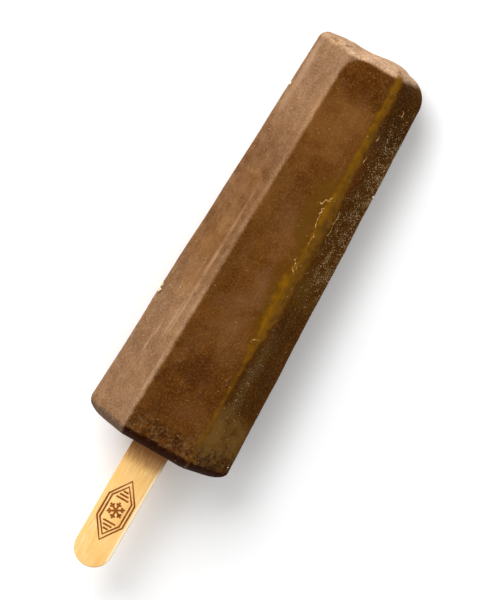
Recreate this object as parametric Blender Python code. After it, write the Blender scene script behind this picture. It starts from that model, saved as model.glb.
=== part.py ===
"""Ice cream bar on a flat wooden stick, lying on its back face.

The ice cream is a moulded bar with an octagonal section that tapers from the stick end to the tip.
Units are metres, +Z is up and z = 0 is the surface that the bar lies on. The long axis runs along Y
with the tip towards +Y, and the origin is under the middle of the whole object.

The pieces are modelled in the mould's own frame: y = 0 is the plane of the mould's mouth, where the
stick end swells out of it, y = BAR_LENGTH is the plane of the tip, and z = 0 halves the thickness. An
empty then lays them down on the back face, which tapers, so that the axis and the stick rise
slightly towards the stick end.
"""

import math

import bmesh
import bpy
from mathutils import Vector

MM = 0.001

# Ice cream: the octagon at the stick end and at the tip, as half sizes
BAR_LENGTH = 108.0 * MM
BASE_HALF_WIDTH = 19.65 * MM
BASE_HALF_THICKNESS = 11.9 * MM
BASE_HALF_FRONT = 9.35 * MM
TIP_HALF_WIDTH = 15.2 * MM
TIP_HALF_THICKNESS = 8.8 * MM
TIP_HALF_FRONT = 6.8 * MM
SLOPE_ANGLE = math.radians(42.0)  # from the front face to each of the sloping faces
RIDGE_RADIUS = 1.8 * MM  # of the eight long edges

# The stick end swells out of the mould as the mix freezes
BASE_SWELL = 4.4 * MM

# How the sides turn over into the tip, and the lumps on it: (x, z, height, reach)
TIP_FRONT_RADIUS = 1.7 * MM
TIP_LEFT_RADIUS = 2.4 * MM
TIP_RIGHT_RADIUS = 6.0 * MM
TURN_STARTS = 0.4  # share of the half width where the front's radius begins to change to the side's
TIP_LUMPS = (
    (5.2 * MM, -5.0 * MM, 0.8 * MM, 6.0 * MM),
    (-8.6 * MM, -4.0 * MM, 0.3 * MM, 4.0 * MM),
    (-2.6 * MM, -4.0 * MM, -1.3 * MM, 3.4 * MM),
)

# Stick: a standard flat one with round ends, most of it inside the ice cream
STICK_LENGTH = 114.0 * MM
STICK_WIDTH = 10.0 * MM
STICK_THICKNESS = 2.0 * MM
STICK_SHOWN = 38.6 * MM  # past the mould's mouth, a little of it inside the swell
STICK_EDGE_RADIUS = 0.3 * MM
SLOT_CLEARANCE = 0.3 * MM

# Fineness of the meshes, in steps
RIDGE_STEPS = 4
SLOPE_STEPS = 4
SIDE_STEPS = 1
FRONT_STEPS = 6
RIM_STEPS = 6
CAP_STEPS = 6
SWELL_STEPS = 12
BODY_STEPS = 8
STICK_END_STEPS = 16

ICE_CREAM_COLOUR = (0.136, 0.051, 0.012, 1.0)
WOOD_COLOUR = (0.830, 0.584, 0.270, 1.0)
SHARP_ANGLE = math.radians(40.0)


def mix(start, end, share):
    return start + (end - start) * share


def smooth(share):
    share = min(max(share, 0.0), 1.0)
    return share * share * (3.0 - 2.0 * share)


def unit(angle):
    return Vector((math.cos(angle), math.sin(angle)))


def clear_scene():
    for obj in list(bpy.data.objects):
        bpy.data.objects.remove(obj)


def new_collection(name):
    collection = bpy.data.collections.new(name)
    bpy.context.scene.collection.children.link(collection)
    return collection


def matte_material(name, colour, roughness):
    material = bpy.data.materials.new(name)
    material.use_nodes = True
    shader = material.node_tree.nodes["Principled BSDF"]
    shader.inputs["Base Color"].default_value = colour
    shader.inputs["Roughness"].default_value = roughness
    shader.inputs["Metallic"].default_value = 0.0
    return material


def octagon(half_width, half_thickness, half_front):
    """The corners (x, z) of a section, clockwise from the right end of the front face."""
    half_side = half_thickness - (half_width - half_front) * math.tan(SLOPE_ANGLE)
    upper = [(half_front, half_thickness), (half_width, half_side)]
    right = upper + [(x, -z) for x, z in reversed(upper)]
    return [Vector(corner) for corner in right + [(-x, z) for x, z in reversed(right)]]


def rounded_section(corners):
    """Points (x, z) round a section, with its corners as arcs and its faces cut into steps."""
    face_steps = [SLOPE_STEPS, SIDE_STEPS, SLOPE_STEPS, FRONT_STEPS] * 2
    arcs = []
    for i, corner in enumerate(corners):
        face_in = corner - corners[i - 1]
        face_out = corners[(i + 1) % len(corners)] - corner
        first = math.atan2(face_in.x, -face_in.y)  # the outward direction of the face before
        turn = face_in.angle(face_out)
        centre = corner - unit(first - turn / 2) * (RIDGE_RADIUS / math.cos(turn / 2))
        arcs.append([centre + unit(first - turn * k / RIDGE_STEPS) * RIDGE_RADIUS
                     for k in range(RIDGE_STEPS + 1)])
    points = []
    for i, arc in enumerate(arcs):
        following = arcs[(i + 1) % len(arcs)]
        points += arc
        points += [arc[-1].lerp(following[0], k / face_steps[i]) for k in range(1, face_steps[i])]
    return points


def rim_radius(across, front, left, right):
    """Radius of an end's rim at a share of the half width, from -1 at the left to 1 at the right."""
    side = right if across > 0 else left
    return mix(front, side, smooth((abs(across) - TURN_STARTS) / (1.0 - TURN_STARTS)))


def tip_rows(radius):
    """Rows over the tip's rim and in to its middle: depth, inset, share of the way to the spine."""
    angles = [math.pi / 2 * (k + 1) / RIM_STEPS for k in range(RIM_STEPS)]
    rim = [(radius * (1.0 - math.sin(a)), radius * (1.0 - math.cos(a)), 0.0) for a in angles]
    cap = [(0.0, radius, (k + 1) / CAP_STEPS) for k in range(CAP_STEPS)]
    return rim + cap


def lumps(x, z):
    """How far the tip face stands out past its plane."""
    return sum(height * math.exp(-((x - cx) ** 2 + (z - cz) ** 2) / reach ** 2)
               for cx, cz, height, reach in TIP_LUMPS)


def inset_point(side, reach, inset, share):
    """A point (x, z) moved in by inset towards the spine and then a share of the way to it."""
    spine = Vector((min(max(side.x, -reach), reach), 0.0))
    inner = side + (spine - side).normalized() * inset
    return inner.lerp(spine, share)


def surface_line(base, tip):
    """Points down one line of the surface, from the middle of the stick end to the middle of the tip."""
    base_reach = BASE_HALF_WIDTH - BASE_HALF_THICKNESS
    tip_reach = TIP_HALF_WIDTH - TIP_HALF_THICKNESS
    radius = rim_radius(tip.x / TIP_HALF_WIDTH, TIP_FRONT_RADIUS, TIP_LEFT_RADIUS, TIP_RIGHT_RADIUS)
    points = []
    for k in range(SWELL_STEPS):
        angle = math.pi / 2 * (1.0 - k / SWELL_STEPS)
        x, z = inset_point(base, base_reach, 0.0, 1.0 - math.cos(angle))
        points.append(Vector((x, -BASE_SWELL * math.sin(angle), z)))
    for k in range(BODY_STEPS + 1):
        y = mix(0.0, BAR_LENGTH - radius, k / BODY_STEPS)
        x, z = base.lerp(tip, y / BAR_LENGTH)
        points.append(Vector((x, y, z)))
    for depth, inset, share in tip_rows(radius):
        x, z = inset_point(base.lerp(tip, 1.0 - depth / BAR_LENGTH), tip_reach, inset, share)
        points.append(Vector((x, BAR_LENGTH - depth + lumps(x, z) * inset / radius, z)))
    return points


def build_ice_cream(collection, material):
    """A loft from the large octagon at the stick end to the small one at the tip."""
    base = rounded_section(octagon(BASE_HALF_WIDTH, BASE_HALF_THICKNESS, BASE_HALF_FRONT))
    tip = rounded_section(octagon(TIP_HALF_WIDTH, TIP_HALF_THICKNESS, TIP_HALF_FRONT))
    mesh = bpy.data.meshes.new("ice_cream")
    shape = bmesh.new()
    lines = [[shape.verts.new(point) for point in surface_line(*ends)] for ends in zip(base, tip)]
    for line, following in zip(lines, lines[1:] + lines[:1]):
        for k in range(len(line) - 1):
            shape.faces.new((line[k], line[k + 1], following[k + 1], following[k]))
    bmesh.ops.remove_doubles(shape, verts=shape.verts, dist=0.001 * MM)
    bmesh.ops.recalc_face_normals(shape, faces=shape.faces)
    shape.to_mesh(mesh)
    shape.free()
    mesh.materials.append(material)
    mesh.shade_smooth()
    mesh.set_sharp_from_angle(angle=SHARP_ANGLE)
    ice_cream = bpy.data.objects.new("ice_cream", mesh)
    collection.objects.link(ice_cream)
    return ice_cream


def flat_strip(name, collection, margin, edge_radius):
    """The stick's outline as a filled curve, grown all round by a margin."""
    half_width = STICK_WIDTH / 2 + margin
    straight = STICK_LENGTH / 2 - STICK_WIDTH / 2
    curve = bpy.data.curves.new(name, "CURVE")
    curve.dimensions = "2D"
    curve.fill_mode = "BOTH"
    curve.extrude = STICK_THICKNESS / 2 + margin - edge_radius
    curve.bevel_depth = edge_radius
    curve.bevel_resolution = 1
    curve.offset = -edge_radius
    outline = curve.splines.new("POLY")
    outline.use_cyclic_u = True
    outline.points.add(2 * STICK_END_STEPS + 1)
    for i, point in enumerate(outline.points):
        end = i // (STICK_END_STEPS + 1)  # 0 for the inner end, 1 for the outer one
        angle = math.pi * (end + (i - end * (STICK_END_STEPS + 1)) / STICK_END_STEPS)
        x, y = unit(angle) * half_width
        point.co = (x, y + (-straight if end else straight), 0.0, 1.0)
    strip = bpy.data.objects.new(name, curve)
    strip.location.y = STICK_LENGTH / 2 - STICK_SHOWN
    collection.objects.link(strip)
    return strip


def as_mesh(curve_object, material):
    """The curve object again as a mesh object, with the seams of its caps welded."""
    bpy.context.view_layer.update()
    evaluated = curve_object.evaluated_get(bpy.context.evaluated_depsgraph_get())
    mesh = bpy.data.meshes.new_from_object(evaluated)
    shape = bmesh.new()
    shape.from_mesh(mesh)
    bmesh.ops.remove_doubles(shape, verts=shape.verts, dist=0.01 * MM)
    bmesh.ops.recalc_face_normals(shape, faces=shape.faces)
    shape.to_mesh(mesh)
    shape.free()
    mesh.materials.clear()
    mesh.materials.append(material)
    mesh.shade_smooth()
    mesh.set_sharp_from_angle(angle=SHARP_ANGLE)
    name = curve_object.name
    collection = curve_object.users_collection[0]
    matrix = curve_object.matrix_world.copy()
    bpy.data.objects.remove(curve_object)
    mesh_object = bpy.data.objects.new(name, mesh)
    mesh_object.matrix_world = matrix
    collection.objects.link(mesh_object)
    return mesh_object


def cut_slot(ice_cream, cutter):
    """The space that the stick fills, so that the two solids never touch."""
    cutter.hide_render = True
    cutter.display_type = "WIRE"
    slot = ice_cream.modifiers.new("slot", "BOOLEAN")
    slot.operation = "DIFFERENCE"
    slot.solver = "EXACT"
    slot.object = cutter


def lay_down(pieces, collection):
    """Turns the pieces about X until the back face is level, and centres them over the origin."""
    rest = bpy.data.objects.new("rest", None)
    collection.objects.link(rest)
    for piece in pieces:
        piece.parent = rest
    rest.rotation_euler.x = -math.atan((BASE_HALF_THICKNESS - TIP_HALF_THICKNESS) / BAR_LENGTH)
    bpy.context.view_layer.update()
    corners = [piece.matrix_world @ vertex.co
               for piece in pieces if not piece.hide_render for vertex in piece.data.vertices]
    for axis in (0, 1):
        places = [corner[axis] for corner in corners]
        rest.location[axis] = -(min(places) + max(places)) / 2
    rest.location.z = -min(corner.z for corner in corners)


def main():
    clear_scene()
    model = new_collection("ice_cream_bar")
    cutters = new_collection("cutters")
    gelato = matte_material("frozen_chocolate_mix", ICE_CREAM_COLOUR, 0.55)
    wood = matte_material("birch_wood", WOOD_COLOUR, 0.6)
    ice_cream = build_ice_cream(model, gelato)
    stick = as_mesh(flat_strip("stick", model, 0.0, STICK_EDGE_RADIUS), wood)
    cutter = as_mesh(flat_strip("slot_cutter", cutters, SLOT_CLEARANCE, 0.0), gelato)
    cut_slot(ice_cream, cutter)
    lay_down([ice_cream, stick, cutter], model)


main()
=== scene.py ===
"""The looks of a frozen chocolate bar on a birch stick, laid out as an add-on and run as a script.

Sizes are in metres. The bar is modelled in the mould's own frame: y = 0 is the plane of the mould's
mouth, where the stick end swells out of it, the tip's plane is the bar's length away, and z = 0 halves
the thickness. laid_down() then puts a piece where the frame's own pieces lie, on the back face.
"""

import functools
import math

import bmesh
import bpy
from mathutils import Matrix, Vector


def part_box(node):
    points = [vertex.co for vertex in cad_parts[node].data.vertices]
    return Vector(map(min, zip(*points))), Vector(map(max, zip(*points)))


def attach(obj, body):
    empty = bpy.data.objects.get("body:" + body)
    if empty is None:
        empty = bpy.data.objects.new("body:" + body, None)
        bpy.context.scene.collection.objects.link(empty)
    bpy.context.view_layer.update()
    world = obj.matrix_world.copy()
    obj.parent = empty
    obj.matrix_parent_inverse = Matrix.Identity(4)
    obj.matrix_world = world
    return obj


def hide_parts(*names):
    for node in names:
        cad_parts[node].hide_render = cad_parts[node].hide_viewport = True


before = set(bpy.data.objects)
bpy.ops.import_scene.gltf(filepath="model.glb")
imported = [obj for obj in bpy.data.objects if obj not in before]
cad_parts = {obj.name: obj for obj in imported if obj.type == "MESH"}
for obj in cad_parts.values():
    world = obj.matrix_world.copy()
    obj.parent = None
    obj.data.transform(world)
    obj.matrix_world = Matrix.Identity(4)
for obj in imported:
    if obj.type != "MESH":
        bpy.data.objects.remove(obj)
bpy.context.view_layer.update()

bl_info = {
    "name": "Frozen Chocolate Bar",
    "version": (1, 0, 0),
    "blender": (4, 5, 0),
    "location": "3D View > Sidebar > Frozen Bar",
    "description": "Makes a moulded frozen chocolate bar, its frost and melted streaks, and its stick",
    "category": "Object",
}

MM = 0.001

SLOPE_ANGLE = math.radians(42.0)
TURN_STARTS = 0.4  # share of the half width where the sides begin to turn over into the tip

# Lumps on the tip, and a dip with a negative height: x, z, height and reach in mm
TIP_LUMPS = (
    (5.2, -5.0, 0.8, 6.0),
    (-8.6, -4.0, 0.3, 4.0),
    (-2.6, -4.0, -1.3, 3.4),
)

# Dents left by air in the mix: the two ends of each (x, y, z), its radius and its depth, in mm. The
# first is the worn corner of the left ridge, and the last, with its negative depth, is a nib.
DENTS = (
    ((-6.0, 107.0, 8.9), (-6.0, 107.0, 8.9), 5.20, 1.15),
    ((-11.4, 107.6, 3.4), (-11.0, 107.7, 3.8), 0.75, 0.70),
    ((-8.4, 107.9, 5.6), (-7.0, 108.2, 3.6), 0.50, 0.40),
    ((-6.6, 105.4, 8.3), (-6.6, 105.4, 8.3), 0.45, 0.35),
    ((-5.5, 105.8, 8.3), (-5.5, 105.8, 8.3), 0.45, 0.35),
    ((-10.7, 36.4, 9.0), (-10.7, 36.0, 9.0), 0.50, 0.50),
    ((-14.9, -1.2, 4.8), (-14.3, -1.6, 4.8), 1.30, -0.35),
)

# Stains and pale rubs: the ridge they are measured from, their place across it (+ to the right) and
# along the bar, half width and half length in mm, colour and strength
STAINS = (
    ("left", -10.0, 96.0, 1.0, 13.0, "#c0a088", 0.25),
    ("left", -6.2, 50.0, 3.4, 19.0, "#754a16", 0.50),
    ("left", -3.4, 46.0, 0.65, 24.0, "#b08a6c", 0.45),
    ("left", -2.5, 41.6, 0.60, 3.2, "#5e3f0c", 0.75),
    ("left", -2.2, 29.0, 0.60, 6.0, "#7a5218", 0.40),
    ("left", -2.6, 21.5, 0.80, 2.2, "#6e4a16", 0.60),
    ("left", -11.2, 34.0, 0.55, 2.6, "#6e4a16", 0.55),
    ("left", -7.6, 20.0, 0.40, 3.2, "#bb9a84", 0.40),
    ("left", -6.9, 24.5, 0.32, 3.4, "#bb9a84", 0.35),
    ("left", -4.4, 29.0, 0.50, 7.0, "#b8967c", 0.35),
    ("left", -5.0, 7.5, 2.6, 3.0, "#7a5636", 0.35),
    ("left", -1.0, 12.0, 0.5, 8.0, "#c8a888", 0.30),
    ("left", 7.0, 89.5, 11.0, 8.5, "#7e5328", 0.50),
    ("left", 7.5, 103.0, 8.5, 6.0, "#462100", 0.85),
    ("left", 2.6, 68.0, 3.0, 14.0, "#7b5428", 0.30),
    ("left", 8.0, 67.0, 5.5, 4.0, "#4e2b0c", 0.50),
    ("left", 2.6, 51.0, 3.4, 13.0, "#4f2d0a", 0.55),
    ("left", 5.0, 42.0, 3.6, 6.0, "#4c2806", 0.45),
    ("left", 2.0, 27.0, 2.6, 5.0, "#4c2b0c", 0.50),
    ("left", 3.0, 11.0, 4.0, 5.5, "#412005", 0.65),
    ("left", 9.5, 15.0, 8.0, 9.0, "#421e02", 0.55),
    ("right", -6.0, 61.0, 4.5, 7.0, "#775230", 0.34),
    ("right", -5.6, 42.5, 3.4, 8.0, "#745032", 0.46),
    ("right", -10.0, 37.0, 4.0, 5.0, "#74502f", 0.35),
    ("right", -5.0, 29.0, 3.2, 5.5, "#74502e", 0.35),
    ("right", -9.0, 20.0, 6.0, 6.5, "#401e05", 0.75),
    ("right", -6.5, 11.0, 3.6, 3.6, "#6a4526", 0.35),
    ("right", 6.5, 99.0, 7.5, 12.0, "#2e1903", 0.70),
    ("right", 6.0, 74.0, 6.0, 12.0, "#3f2604", 0.40),
    ("right", 6.0, 50.0, 6.5, 6.5, "#5a3f0c", 0.50),
    ("right", 6.0, 40.0, 6.0, 5.5, "#321d02", 0.60),
    ("right", 4.6, 26.0, 2.4, 12.0, "#5f4e2c", 0.38),
    ("right", 9.0, 24.0, 3.0, 10.0, "#2f1b03", 0.55),
    ("right", 6.0, 7.0, 7.5, 7.5, "#7b5a28", 0.80),
    ("right", 3.3, 80.0, 0.50, 6.5, "#5e2206", 0.80),
    ("right", 3.4, 42.0, 0.55, 11.0, "#5e2206", 0.80),
)

# Pale flakes along the melted band, as paths of (x, y) in mm over the front of the bar
FLAKE_PATHS = (
    ((4.3, 70.9), (4.8, 71.6), (5.5, 71.3), (6.0, 72.6), (6.8, 72.8), (7.3, 74.2)),
    ((6.6, 71.6), (6.2, 69.9), (6.8, 68.3), (6.3, 67.0), (6.9, 66.1), (7.1, 64.9)),
    ((10.6, 71.3), (10.9, 69.5), (10.6, 68.2), (11.1, 66.3), (10.9, 64.8)),
    ((7.4, 64.2), (7.9, 62.7), (7.6, 61.2)),
    ((7.1, 57.4), (6.8, 56.4), (7.3, 55.7), (7.1, 54.4), (7.8, 53.3), (8.3, 52.9)),
    ((7.9, 56.0), (7.7, 54.9), (8.2, 54.2)),
    ((7.4, 33.2), (8.0, 34.2), (8.9, 34.6), (9.4, 33.9)),
    ((9.2, 86.8), (9.4, 85.4), (9.3, 84.6)),
    ((9.6, 92.8), (9.5, 91.2)),
    ((11.6, 100.6), (12.0, 99.8), (12.2, 98.8)),
    ((-10.2, 7.4), (-9.6, 6.7), (-9.0, 5.7)),
    ((-12.1, 107.9), (-11.6, 108.4), (-10.9, 108.3), (-10.5, 107.7)),
)

# Crumbs of frozen milk stuck to the bar: place (x, y, z) and half sizes, in mm
CRUMBS = (
    ((-18.3, 33.2, 2.2), (0.45, 0.95, 0.55)),
    ((-18.1, 31.9, 2.6), (0.40, 0.60, 0.45)),
    ((-15.5, 92.3, 1.4), (0.30, 0.45, 0.35)),
    ((15.9, 78.0, 1.6), (0.25, 0.45, 0.30)),
    ((18.6, 1.6, 3.4), (0.20, 0.16, 0.16)),
)

# Fineness of the meshes, in steps
RIDGE_STEPS = 6
SLOPE_STEPS = 26
SIDE_STEPS = 8
FRONT_STEPS = 38
RIM_STEPS = 10
CAP_STEPS = 18
SWELL_STEPS = 28
BODY_STEPS = 210
STICK_END_STEPS = 32


def mix(start, end, share):
    return start + (end - start) * share


def smooth(share):
    share = min(max(share, 0.0), 1.0)
    return share * share * (3.0 - 2.0 * share)


def unit(angle):
    return Vector((math.cos(angle), math.sin(angle)))


def linear(colour):
    """An sRGB hex colour as linear red, green, blue and alpha."""
    parts = [int(colour[i:i + 2], 16) / 255.0 for i in (1, 3, 5)]
    return [c / 12.92 if c <= 0.04045 else ((c + 0.055) / 1.055) ** 2.4 for c in parts] + [1.0]


def add_node(tree, kind, inputs=(), take=0, **settings):
    """Adds a node with its settings; each input, in order or by key, is a value or another node's
    output. Returns the output that take names."""
    made = tree.nodes.new(kind)
    for name, value in settings.items():
        setattr(made, name, value)
    for key, value in inputs.items() if isinstance(inputs, dict) else enumerate(inputs):
        if isinstance(value, bpy.types.NodeSocket):
            tree.links.new(value, made.inputs[key])
        else:
            made.inputs[key].default_value = value
    return made.outputs[take] if made.outputs else None


def all_of(tree, *shares):
    """The shares multiplied together: full only where every one of them is."""
    return functools.reduce(
        lambda one, other: add_node(tree, "ShaderNodeMath", (one, other), operation="MULTIPLY"), shares)


def sum_of(tree, *values):
    return functools.reduce(
        lambda one, other: add_node(tree, "ShaderNodeMath", (one, other), operation="ADD"), values)


def zone(tree, value, *edges):
    """1 where the value is within every (outside, inside) pair of edges, fading to 0 outside."""
    shares = [add_node(tree, "ShaderNodeMapRange", {"Value": value, "From Min": out, "From Max": inner},
                       interpolation_type="SMOOTHSTEP") for out, inner in edges]
    return all_of(tree, *shares)


def clouds(tree, place, size, low=0.0, high=1.0, detail=3.0, seed=0.0):
    """Cloudy patches about size across: 0 where the cloud is thinner than low, 1 from high on."""
    cloud = add_node(tree, "ShaderNodeTexNoise", {
        "Vector": place, "W": seed, "Scale": 1.0 / size, "Detail": detail}, noise_dimensions="4D")
    return zone(tree, cloud, (low, high))


def wobble(tree, place, size, reach, detail=3.0, seed=0.0):
    """Cloudy patches about size across, from half of reach below 0 to half of it above."""
    cloud = clouds(tree, place, size, detail=detail, seed=seed)
    return all_of(tree, sum_of(tree, cloud, -0.5), reach)


def laid_over(tree, under, over, *shares):
    """One colour laid over another, as thickly as all the shares together say."""
    return add_node(tree, "ShaderNodeMix", {0: all_of(tree, *shares), 6: under, 7: over}, take=2,
                    data_type="RGBA")


def laid_down(sizes):
    """Where the mould's frame lies: the stick's middle is the middle of the frame's stick."""
    low, high = (Vector(corner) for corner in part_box("stick"))
    tilt = -math.atan((sizes.base_half_thickness - sizes.tip_half_thickness) / sizes.length)
    turn = Matrix.Rotation(tilt, 4, "X")
    middle = Vector((0.0, sizes.stick_length / 2 - sizes.stick_shown, 0.0))
    return Matrix.Translation((low + high) / 2 - turn @ middle) @ turn


def new_object(name, data):
    made = bpy.data.objects.new(name, data)
    bpy.context.scene.collection.objects.link(made)
    return made


def socket_names(tree, sockets):
    """Adds the tree's inputs, each a (name, socket type, default), and its geometry output."""
    tree.interface.new_socket("Geometry", in_out="INPUT", socket_type="NodeSocketGeometry")
    for name, kind, default in sockets:
        socket = tree.interface.new_socket(name, in_out="INPUT", socket_type=kind)
        socket.default_value = default
    tree.interface.new_socket("Geometry", in_out="OUTPUT", socket_type="NodeSocketGeometry")


def made_by(obj, tree, **values):
    """Runs a geometry tree on an object and keeps the result as its plain mesh. Each value goes to the
    input of that name, written with underscores."""
    modifier = obj.modifiers.new(tree.name, "NODES")
    modifier.node_group = tree
    for item in tree.interface.items_tree:
        key = item.name.lower().replace(" ", "_")
        if item.in_out == "INPUT" and key in values:
            modifier[item.identifier] = values[key]
    bpy.context.view_layer.update()
    evaluated = obj.evaluated_get(bpy.context.evaluated_depsgraph_get())
    mesh = bpy.data.meshes.new_from_object(evaluated)
    name = obj.name
    bpy.data.objects.remove(obj)
    return new_object(name, mesh)


def finish_piece(piece, node=None):
    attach(piece, "root")
    if node:
        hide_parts(node)


def end_tree(tree, geometry, material):
    """The last nodes of every tree: instances made real, and the material."""
    real = add_node(tree, "GeometryNodeRealizeInstances", (geometry,))
    finished = add_node(tree, "GeometryNodeSetMaterial", {"Geometry": real, "Material": material})
    add_node(tree, "NodeGroupOutput", (finished,))


# Shape of the bar ------------------------------------------------------------------------------


def octagon(half_width, half_thickness, half_front):
    """The corners (x, z) of a section, clockwise from the right end of the front face."""
    half_side = half_thickness - (half_width - half_front) * math.tan(SLOPE_ANGLE)
    upper = [(half_front, half_thickness), (half_width, half_side)]
    right = upper + [(x, -z) for x, z in reversed(upper)]
    return [Vector(corner) for corner in right + [(-x, z) for x, z in reversed(right)]]


def rounded_section(corners, radius):
    """Points (x, z) round a section, with its corners as arcs and its faces cut into steps."""
    face_steps = [SLOPE_STEPS, SIDE_STEPS, SLOPE_STEPS, FRONT_STEPS] * 2
    arcs = []
    for i, corner in enumerate(corners):
        face_in = corner - corners[i - 1]
        face_out = corners[(i + 1) % len(corners)] - corner
        first = math.atan2(face_in.x, -face_in.y)
        turn = face_in.angle(face_out)
        centre = corner - unit(first - turn / 2) * (radius / math.cos(turn / 2))
        arcs.append([centre + unit(first - turn * k / RIDGE_STEPS) * radius
                     for k in range(RIDGE_STEPS + 1)])
    points = []
    for i, arc in enumerate(arcs):
        following = arcs[(i + 1) % len(arcs)]
        points += arc
        points += [arc[-1].lerp(following[0], k / face_steps[i]) for k in range(1, face_steps[i])]
    return points


def across_places(points):
    """Each point's distance round the section from the middle of the front, and the ridge's."""
    lengths = [0.0]
    for before, after in zip(points, points[1:] + points[:1]):
        lengths.append(lengths[-1] + (after - before).length)
    whole = lengths.pop()
    half_front = points[0].x
    places = [s + half_front if s < whole / 2 - half_front else s + half_front - whole
              for s in lengths]
    return places, places[RIDGE_STEPS // 2]


def rim_radius(across, front, left, right):
    """Radius of an end's rim at a share of the half width, from -1 at the left to 1 at the right."""
    side = right if across > 0 else left
    return mix(front, side, smooth((abs(across) - TURN_STARTS) / (1.0 - TURN_STARTS)))


def tip_rows(radius):
    """Rows over the tip's rim and in to its middle: depth, inset, share of the way to the spine."""
    angles = [math.pi / 2 * (k + 1) / RIM_STEPS for k in range(RIM_STEPS)]
    rim = [(radius * (1.0 - math.sin(a)), radius * (1.0 - math.cos(a)), 0.0) for a in angles]
    cap = [(0.0, radius, (k + 1) / CAP_STEPS) for k in range(CAP_STEPS)]
    return rim + cap


def lumps(x, z):
    """How far the tip face stands out past its plane."""
    return sum(height * MM * math.exp(-((x / MM - cx) ** 2 + (z / MM - cz) ** 2) / reach ** 2)
               for cx, cz, height, reach in TIP_LUMPS)


def inset_point(side, reach, inset, share):
    """A point (x, z) moved in by inset towards the spine and then a share of the way to it."""
    spine = Vector((min(max(side.x, -reach), reach), 0.0))
    inner = side + (spine - side).normalized() * inset
    return inner.lerp(spine, share)


def surface_line(sizes, base, tip):
    """Points down one line of the surface, from the middle of the stick end to the middle of the tip."""
    base_reach = sizes.base_half_width - sizes.base_half_thickness
    tip_reach = sizes.tip_half_width - sizes.tip_half_thickness
    radius = rim_radius(tip.x / sizes.tip_half_width, sizes.front_rim, sizes.left_rim, sizes.right_rim)
    length = sizes.length
    points = []
    for k in range(SWELL_STEPS):
        angle = math.pi / 2 * (1.0 - k / SWELL_STEPS)
        x, z = inset_point(base, base_reach, 0.0, 1.0 - math.cos(angle))
        points.append(Vector((x, -sizes.swell * math.sin(angle), z)))
    for k in range(BODY_STEPS + 1):
        y = mix(0.0, length - radius, k / BODY_STEPS)
        x, z = base.lerp(tip, y / length)
        points.append(Vector((x, y, z)))
    for depth, inset, share in tip_rows(radius):
        x, z = inset_point(base.lerp(tip, 1.0 - depth / length), tip_reach, inset, share)
        points.append(Vector((x, length - depth + lumps(x, z) * inset / radius, z)))
    return points


def press_dents(shape, pit):
    """Pushes the dents into the surface and marks how deep each point of a small one went, for painted
    shade.
    """
    shape.normal_update()
    for start, end, radius, depth in DENTS:
        start, run = Vector(start) * MM, (Vector(end) - Vector(start)) * MM
        for vert in shape.verts:
            along = (vert.co - start).dot(run) / max(run.length_squared, 1e-12)
            nearest = start + run * min(max(along, 0.0), 1.0)
            gap = (vert.co - nearest).length / (radius * MM)
            if gap < 1.0:
                push = (1.0 - gap ** 2) ** 2
                vert.co -= vert.normal * push * depth * MM
                if radius < 1.0:
                    vert[pit] = max(vert[pit], push)


def bar_mesh(sizes):
    """The moulded bar as a dense mesh that knows, at each point, how far it is from each ridge."""
    base = rounded_section(octagon(sizes.base_half_width, sizes.base_half_thickness,
                                   sizes.base_half_front), sizes.ridge_radius)
    tip = rounded_section(octagon(sizes.tip_half_width, sizes.tip_half_thickness,
                                  sizes.tip_half_front), sizes.ridge_radius)
    base_places, base_ridge = across_places(base)
    tip_places, tip_ridge = across_places(tip)
    shape = bmesh.new()
    layers = {name: shape.verts.layers.float.new(name)
              for name in ("along", "left_ridge", "right_ridge", "pit")}
    lines = []
    for ends, places in zip(zip(base, tip), zip(base_places, tip_places)):
        line = []
        for point in surface_line(sizes, *ends):
            share = min(max(point.y / sizes.length, 0.0), 1.0)
            across, ridge = mix(*places, share), mix(base_ridge, tip_ridge, share)
            vert = shape.verts.new(point)
            vert[layers["along"]] = point.y
            vert[layers["left_ridge"]] = across + ridge
            vert[layers["right_ridge"]] = across - ridge
            line.append(vert)
        lines.append(line)
    for line, following in zip(lines, lines[1:] + lines[:1]):
        for k in range(len(line) - 1):
            shape.faces.new((line[k], line[k + 1], following[k + 1], following[k]))
    bmesh.ops.remove_doubles(shape, verts=shape.verts, dist=0.001 * MM)
    bmesh.ops.recalc_face_normals(shape, faces=shape.faces)
    press_dents(shape, layers["pit"])
    mesh = bpy.data.meshes.new("gelato_bar")
    shape.to_mesh(mesh)
    shape.free()
    mesh.transform(laid_down(sizes))
    mesh.shade_smooth()
    return mesh


# The edges of the melted band, and of the wash beside it, as (mm along, mm from the right ridge)
MELT_LEFT = ((-2, -0.3), (5, -0.4), (15, -0.5), (26, -0.6), (31, -0.9), (34, -1.5), (36, -1.0),
             (40, -1.5), (47, -2.0), (52, -1.8), (56, -0.9), (62, -0.7), (67, -1.4), (71, -1.6),
             (75, -0.9), (85, -0.8), (100, -0.9), (112, -0.9))
MELT_RIGHT = ((-2, 0.2), (5, 0.4), (15, 0.5), (26, 0.7), (31, 1.2), (34, 1.8), (38, 2.8), (45, 3.1),
              (60, 3.4), (70, 3.2), (76, 2.6), (85, 2.1), (100, 1.8), (107, 1.3), (112, 0.4))
WASH_LEFT = ((-2, 0.0), (30, -0.2), (34, -1.4), (38, -3.0), (45, -3.4), (50, -4.0), (54, -4.0),
             (58, -2.6), (62, -4.8), (68, -5.8), (73, -5.4), (78, -3.6), (82, -1.4), (112, 0.0))
CURVE_REACH = 8.0  # mm from the ridge that a curve's full height stands for


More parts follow.
